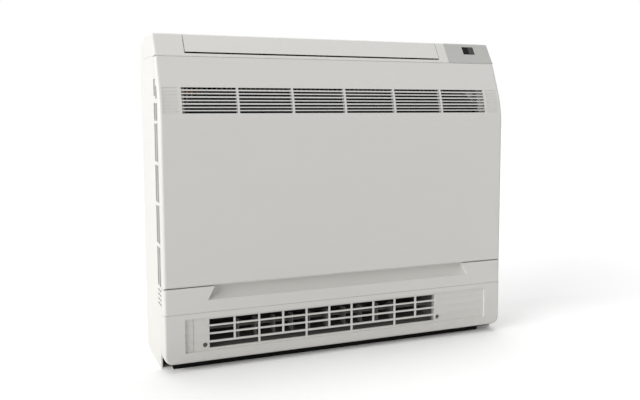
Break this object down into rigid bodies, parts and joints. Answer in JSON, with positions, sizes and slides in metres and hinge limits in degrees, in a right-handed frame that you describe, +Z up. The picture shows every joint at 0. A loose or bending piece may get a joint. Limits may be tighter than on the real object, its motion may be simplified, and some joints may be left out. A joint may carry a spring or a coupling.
{
  "type": "floor console air conditioner",
  "caption": "Low floor-standing indoor air conditioner with a hinged slotted front panel, a flap over the top outlet and a barred lower outlet.",
  "frame": {"origin": "middle of the base, on the floor", "axes": "+X to the right seen from the front, +Y from the front to the back, +Z up"},
  "size_m": [0.7, 0.215, 0.6],
  "materials": {
    "white_plastic": "satin warm white",
    "light_grey_plastic": "satin light grey",
    "black_plastic": "matt black",
    "dark_grey_plastic": "matt dark grey",
    "smoked_window": "gloss smoked black",
    "galvanised_steel": "galvanised",
    "screw_steel": "zinc plated",
    "shaft_steel": "turned",
    "motor_can": "black enamel",
    "fin_aluminium": "bare sheet",
    "copper": "drawn copper",
    "brass": "turned brass",
    "foam_white": "expanded polystyrene",
    "filter_blue": "dark blue mesh frame",
    "rubber": "matt",
    "circuit_green": "solder mask",
    "component_grey": "moulded",
    "wheel_plastic": "moulded white"
  },
  "bodies": {
    "case": {"base_strip": "black_plastic", "bell_mouth": "wheel_plastic", "board_components": "component_grey", "case_screws": "screw_steel", "coil_bends": "copper", "coil_end_plates": "galvanised_steel", "coil_fins": "fin_aluminium", "coil_tubes": "copper", "control_board": "circuit_green", "display_board": "circuit_green", "display_cover": "light_grey_plastic", "display_window": "smoked_window", "door_motor": "galvanised_steel", "drain_pan": "foam_white", "electric_box": "galvanised_steel", "electric_box_cover": "galvanised_steel", "fan_motor": "motor_can", "fan_scroll": "foam_white", "flare_nuts": "brass", "front_case": "white_plastic", "gas_pipe": "copper", "grille_screws": "screw_steel", "inlet_plate": "foam_white", "liquid_pipe": "copper", "louver_bush": "dark_grey_plastic", "louver_motor": "galvanised_steel", "lower_duct": "dark_grey_plastic", "lower_grille": "white_plastic", "lower_guide_vanes": "dark_grey_plastic", "motor_bearings": "shaft_steel", "motor_mounts": "rubber", "motor_screws": "screw_steel", "mounting_plate": "galvanised_steel", "rear_case": "white_plastic", "swing_motor": "galvanised_steel", "terminal_block": "component_grey", "top_duct": "foam_white", "wire_clamp": "black_plastic"},
    "panel": {"front_panel": "white_plastic"},
    "louver": {"top_louver": "white_plastic"},
    "link": {"blade_link": "dark_grey_plastic"},
    "crank": {"swing_crank": "dark_grey_plastic"},
    "door": {"air_door": "dark_grey_plastic", "door_shaft": "shaft_steel"},
    "fan": {"fan_wheel": "wheel_plastic", "motor_shaft": "shaft_steel", "shaft_nut": "screw_steel"},
    "left_filter": {"filter_left": "filter_blue"},
    "right_filter": {"filter_right": "filter_blue"},
    "button": {"manual_button": "light_grey_plastic"},
    "switch": {"outlet_switch": "light_grey_plastic"},
    "blade_1": {"top_blade_1": "dark_grey_plastic"},
    "blade_2": {"top_blade_2": "dark_grey_plastic"},
    "blade_3": {"top_blade_3": "dark_grey_plastic"},
    "blade_4": {"top_blade_4": "dark_grey_plastic"},
    "blade_5": {"top_blade_5": "dark_grey_plastic"},
    "blade_6": {"top_blade_6": "dark_grey_plastic"},
    "blade_7": {"top_blade_7": "dark_grey_plastic"},
    "blade_8": {"top_blade_8": "dark_grey_plastic"}
  },
  "joints": [
    {"name": "panel_hinge", "type": "hinge", "parent": "case", "child": "panel", "pos_m": [0, -0.1025, 0.156], "axis": [1, 0, 0], "range_deg": [0, 75]},
    {"name": "louver_pivot", "type": "hinge", "parent": "case", "child": "louver", "pos_m": [0, 0.03, 0.588], "axis": [-1, 0, 0], "range_deg": [0, 70]},
    {"name": "fan_spin", "type": "hinge", "parent": "case", "child": "fan", "pos_m": [-0.0365, 0, 0.335], "axis": [0, 1, 0], "continuous": true},
    {"name": "door_pivot", "type": "hinge", "parent": "case", "child": "door", "pos_m": [0, -0.0035, 0.102], "axis": [1, 0, 0], "range_deg": [0, 80]},
    {"name": "crank_turn", "type": "hinge", "parent": "case", "child": "crank", "pos_m": [0.251, -0.005, 0.57], "axis": [0, 0, -1], "range_deg": [-30, 30]},
    {"name": "link_slide", "type": "slide", "parent": "case", "child": "link", "axis": [1, 0, 0], "range_m": [-0.0076, 0.0076]},
    {"name": "left_filter_slide", "type": "slide", "parent": "case", "child": "left_filter", "axis": [0, 0, 1], "range_m": [0, 0.015]},
    {"name": "right_filter_slide", "type": "slide", "parent": "case", "child": "right_filter", "axis": [0, 0, 1], "range_m": [0, 0.015]},
    {"name": "button_press", "type": "slide", "parent": "case", "child": "button", "axis": [0, 1, 0], "range_m": [0, 0.0015], "stiffness_N_per_m": 300, "springref_m": -0.001},
    {"name": "switch_slide", "type": "slide", "parent": "case", "child": "switch", "axis": [0, 0, 1], "range_m": [0, 0.008]},
    {"name": "blade_1_pivot", "type": "hinge", "parent": "case", "child": "blade_1", "pos_m": [-0.261, -0.005, 0.55], "axis": [0, 0, -1], "range_deg": [-30, 30]},
    {"name": "blade_2_pivot", "type": "hinge", "parent": "case", "child": "blade_2", "pos_m": [-0.197, -0.005, 0.55], "axis": [0, 0, -1], "range_deg": [-30, 30]},
    {"name": "blade_3_pivot", "type": "hinge", "parent": "case", "child": "blade_3", "pos_m": [-0.133, -0.005, 0.55], "axis": [0, 0, -1], "range_deg": [-30, 30]},
    {"name": "blade_4_pivot", "type": "hinge", "parent": "case", "child": "blade_4", "pos_m": [-0.069, -0.005, 0.55], "axis": [0, 0, -1], "range_deg": [-30, 30]},
    {"name": "blade_5_pivot", "type": "hinge", "parent": "case", "child": "blade_5", "pos_m": [-0.005, -0.005, 0.55], "axis": [0, 0, -1], "range_deg": [-30, 30]},
    {"name": "blade_6_pivot", "type": "hinge", "parent": "case", "child": "blade_6", "pos_m": [0.059, -0.005, 0.55], "axis": [0, 0, -1], "range_deg": [-30, 30]},
    {"name": "blade_7_pivot", "type": "hinge", "parent": "case", "child": "blade_7", "pos_m": [0.123, -0.005, 0.55], "axis": [0, 0, -1], "range_deg": [-30, 30]},
    {"name": "blade_8_pivot", "type": "hinge", "parent": "case", "child": "blade_8", "pos_m": [0.187, -0.005, 0.55], "axis": [0, 0, -1], "range_deg": [-30, 30]}
  ],
  "couplings": [
    {"joint": "crank_turn", "follows": "link_slide", "rad_per_m": 68.49},
    {"joint": "blade_1_pivot", "follows": "link_slide", "rad_per_m": 68.49},
    {"joint": "blade_2_pivot", "follows": "link_slide", "rad_per_m": 68.49},
    {"joint": "blade_3_pivot", "follows": "link_slide", "rad_per_m": 68.49},
    {"joint": "blade_4_pivot", "follows": "link_slide", "rad_per_m": 68.49},
    {"joint": "blade_5_pivot", "follows": "link_slide", "rad_per_m": 68.49},
    {"joint": "blade_6_pivot", "follows": "link_slide", "rad_per_m": 68.49},
    {"joint": "blade_7_pivot", "follows": "link_slide", "rad_per_m": 68.49},
    {"joint": "blade_8_pivot", "follows": "link_slide", "rad_per_m": 68.49}
  ]
}
